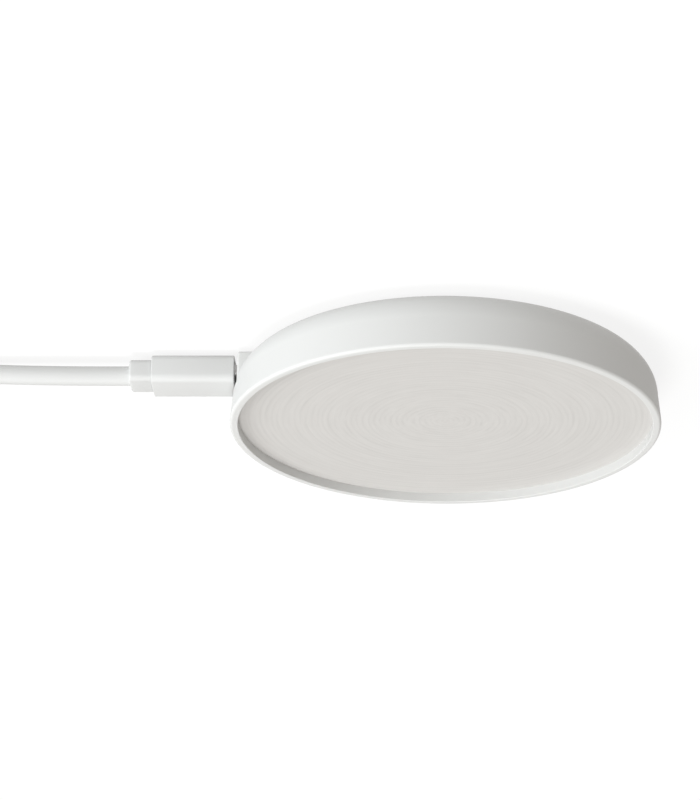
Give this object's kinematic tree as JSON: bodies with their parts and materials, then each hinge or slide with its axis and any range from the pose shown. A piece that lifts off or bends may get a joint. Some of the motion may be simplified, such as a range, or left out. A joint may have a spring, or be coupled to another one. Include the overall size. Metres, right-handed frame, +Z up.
{
  "type": "wireless charging pad",
  "caption": "Thin round wireless charging pad with a recessed ringed top and a USB-C lead that unplugs.",
  "frame": {"origin": "on the surface that the pad stands on, under the middle of the round pad", "axes": "+Z up out of the ringed top; the plug and its lead leave the pad along +X"},
  "size_m": [0.2578, 0.1013, 0.0137],
  "materials": {
    "pad_white": "satin moulded plastic",
    "ringed_grey": "matte with fine turned rings",
    "tape_black": "thin foam tape",
    "foot_rubber": "matte silicone",
    "tray_plastic": "matte",
    "ferrite_grey": "sintered, matte",
    "coil_copper": "lacquered copper strands",
    "wire_sleeve": "satin",
    "board_green": "solder mask",
    "chip_epoxy": "matte epoxy",
    "capacitor_ceramic": "matte ceramic",
    "bright_steel": "bright nickel plate",
    "black_nylon": "satin",
    "lead_white": "satin elastomer",
    "tie_white": "satin"
  },
  "bodies": {
    "pad": {"base_shell": "pad_white", "top_plate": "ringed_grey", "adhesive_ring": "tape_black", "foot_ring": "foot_rubber", "coil_tray": "tray_plastic", "ferrite_disc": "ferrite_grey", "charging_coil": "coil_copper", "coil_lead_1": "wire_sleeve", "coil_lead_2": "wire_sleeve", "circuit_board": "board_green", "charge_controller": "chip_epoxy", "power_switch_chip": "chip_epoxy", "temperature_sensor": "chip_epoxy", "power_inductor": "ferrite_grey", "clock_crystal": "bright_steel", "input_capacitor_1": "capacitor_ceramic", "input_capacitor_2": "capacitor_ceramic", "resonant_capacitor_1": "capacitor_ceramic", "resonant_capacitor_2": "capacitor_ceramic", "resonant_capacitor_3": "capacitor_ceramic", "resonant_capacitor_4": "capacitor_ceramic", "socket_shell": "bright_steel", "socket_tongue": "black_nylon", "tray_screw_1": "bright_steel", "tray_screw_2": "bright_steel", "tray_screw_3": "bright_steel", "board_screw_1": "bright_steel", "board_screw_2": "bright_steel"},
    "lead": {"plug_shell": "bright_steel", "plug_inner_block": "black_nylon", "plug_grip": "lead_white", "plug_collar": "lead_white", "cable": "lead_white", "cable_coil": "lead_white", "cable_tail": "lead_white", "cable_tie": "tie_white", "far_plug_collar": "lead_white", "far_plug_grip": "lead_white", "far_plug_shell": "bright_steel", "far_plug_block": "black_nylon"}
  },
  "joints": [
    {"name": "plug_pull", "type": "slide", "parent": "pad", "child": "lead", "axis": [1, 0, 0], "range_m": [0, 0.01]}
  ]
}
